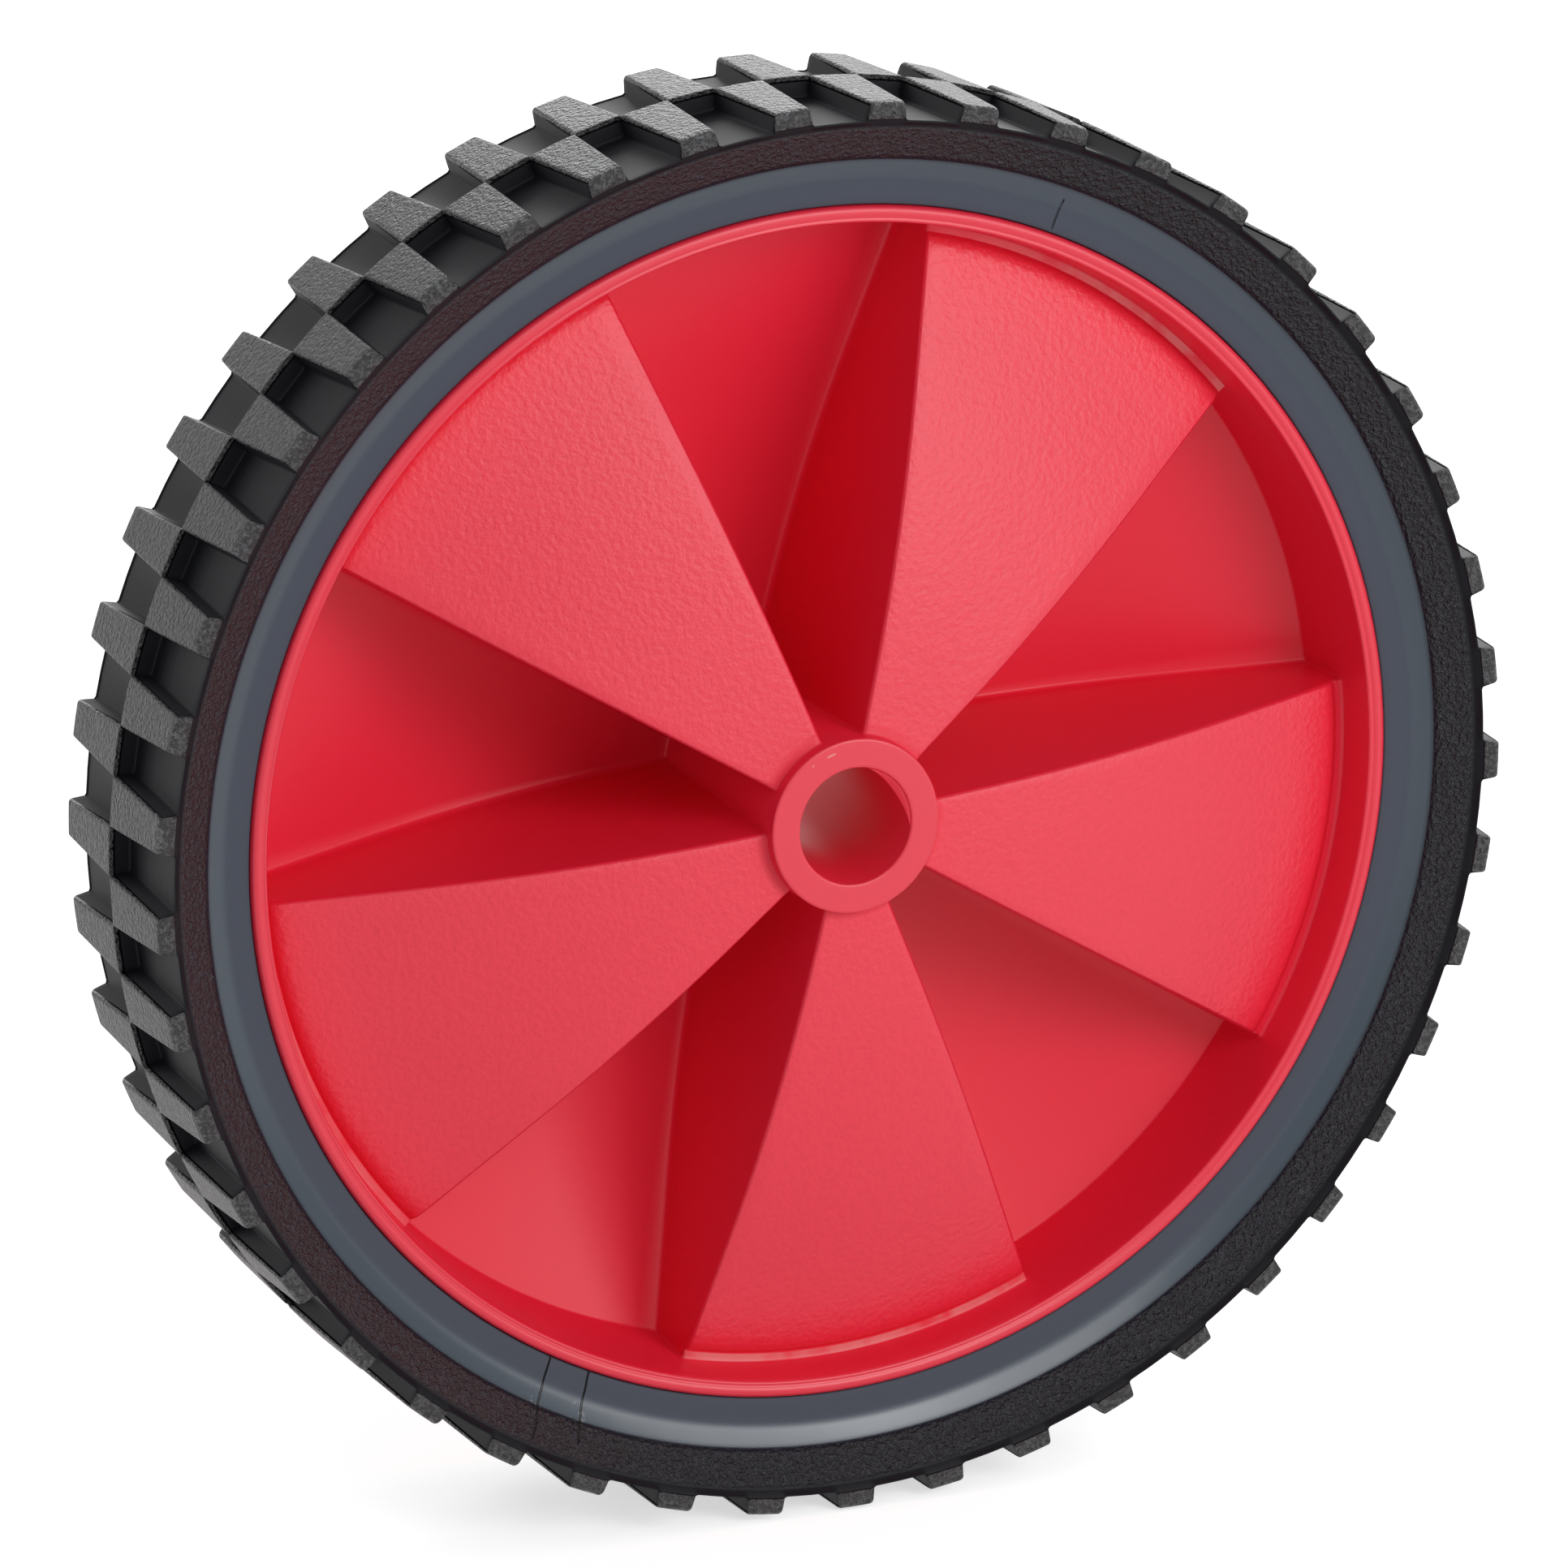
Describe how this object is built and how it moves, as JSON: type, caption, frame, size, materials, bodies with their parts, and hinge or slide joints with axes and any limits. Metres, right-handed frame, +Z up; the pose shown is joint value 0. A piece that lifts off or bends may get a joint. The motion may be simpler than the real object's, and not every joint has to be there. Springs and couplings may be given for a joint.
{
  "type": "wheel",
  "caption": "Small machine wheel: one-piece red plastic body with domed sector plates facing front and back by turns, a plain axle hole, and a solid black rubber tyre with staggered lugs.",
  "frame": {"origin": "middle of the axle hole, on the wheel's middle plane", "axes": "+Z up with the wheel standing upright, +Y along the axle towards the machine, outer face towards -Y"},
  "size_m": [0.25, 0.0526, 0.25],
  "materials": {
    "wheel_body": "satin red moulding",
    "tyre": "grained black rubber"
  },
  "bodies": {
    "root": {"wheel_body": "wheel_body", "tyre": "tyre"}
  },
  "joints": []
}
